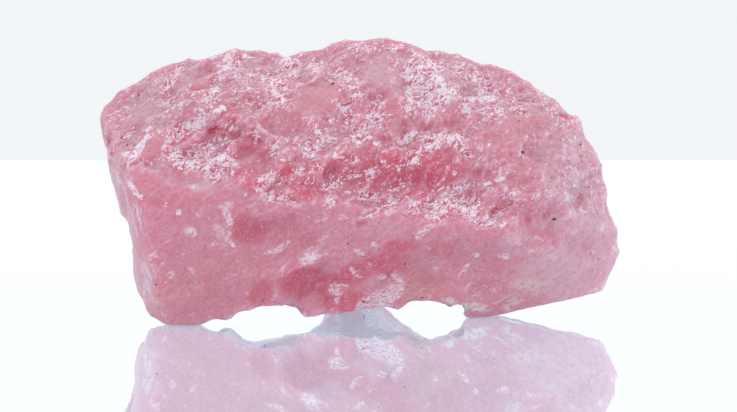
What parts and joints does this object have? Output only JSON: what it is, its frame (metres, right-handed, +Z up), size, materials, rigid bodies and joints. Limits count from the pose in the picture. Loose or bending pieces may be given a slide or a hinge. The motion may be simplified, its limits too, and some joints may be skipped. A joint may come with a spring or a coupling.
{
  "type": "rough rose quartz stone",
  "caption": "Rough, broken piece of rose quartz with flat fracture faces, ledges and chipped edges, resting on a small flat spot.",
  "frame": {"origin": "on the ground the stone rests on, under the middle of its bounding box", "axes": "+X along the stone's length, +Y from its front to its back, +Z up"},
  "size_m": [0.0702, 0.0324, 0.0369],
  "materials": {
    "quartz": "glassy on fresh breaks, satin on worn ones, cloudy inside"
  },
  "bodies": {
    "root": {"rose_quartz": "quartz"}
  },
  "joints": []
}
